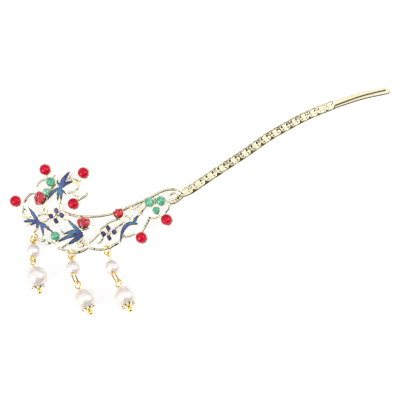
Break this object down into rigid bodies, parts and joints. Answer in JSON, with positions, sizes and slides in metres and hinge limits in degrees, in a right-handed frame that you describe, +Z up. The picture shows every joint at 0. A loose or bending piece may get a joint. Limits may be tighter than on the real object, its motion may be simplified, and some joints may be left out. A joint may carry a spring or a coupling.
{
  "type": "hairpin",
  "caption": "Openwork hairpin with a scroll embossed stick, enamel leaves and flowers, roses, beads on cups and pearl drops on jump rings, lying on its back.",
  "frame": {"origin": "middle of the object's box, on the table it lies on", "axes": "+X towards the tip of the stick, +Y towards the top of the picture, +Z up from the table"},
  "size_m": [0.1714, 0.1026, 0.0101],
  "materials": {
    "pale_gold": "cast brass alloy and stamped caps, polished and plated in pale champagne gold",
    "rich_gold": "drawn wire, plated in a deeper yellow gold",
    "navy_enamel": "glossy navy enamel with lighter blue and teal streaks",
    "violet_enamel": "glossy dark violet enamel, lighter at the middle of each petal",
    "red_enamel": "glossy deep red enamel over relief petals",
    "red_agate": "polished red agate",
    "green_jade": "polished translucent green stone",
    "shell_pearl": "white shell pearl with a soft pink and grey sheen"
  },
  "bodies": {
    "root": {"hairpin_frame": "pale_gold", "spray_a": "navy_enamel", "spray_b": "navy_enamel", "spray_c": "navy_enamel", "spray_d": "navy_enamel", "flower_1_enamel": "violet_enamel", "flower_2_enamel": "violet_enamel", "rose_1": "red_enamel", "rose_2": "red_enamel", "rose_3": "red_enamel", "red_bead_1": "red_agate", "red_bead_2": "red_agate", "red_bead_3": "red_agate", "red_bead_4": "red_agate", "red_bead_5": "red_agate", "red_bead_6": "red_agate", "green_bead_1": "green_jade", "green_bead_2": "green_jade", "green_bead_3": "green_jade", "green_bead_4": "green_jade", "green_bead_5": "green_jade", "green_bead_6": "green_jade", "jump_ring_1": "rich_gold", "jump_ring_2": "rich_gold", "jump_ring_3": "rich_gold", "eye_pin_1": "rich_gold", "eye_pin_2": "rich_gold", "eye_pin_3": "rich_gold", "small_pearl_1": "shell_pearl", "small_pearl_2": "shell_pearl", "small_pearl_3": "shell_pearl", "large_pearl_1": "shell_pearl", "large_pearl_2": "shell_pearl", "large_pearl_3": "shell_pearl", "bead_cap_1": "pale_gold", "bead_cap_2": "pale_gold", "bead_cap_3": "pale_gold", "head_pin_1": "rich_gold", "head_pin_2": "rich_gold", "head_pin_3": "rich_gold"}
  },
  "joints": []
}
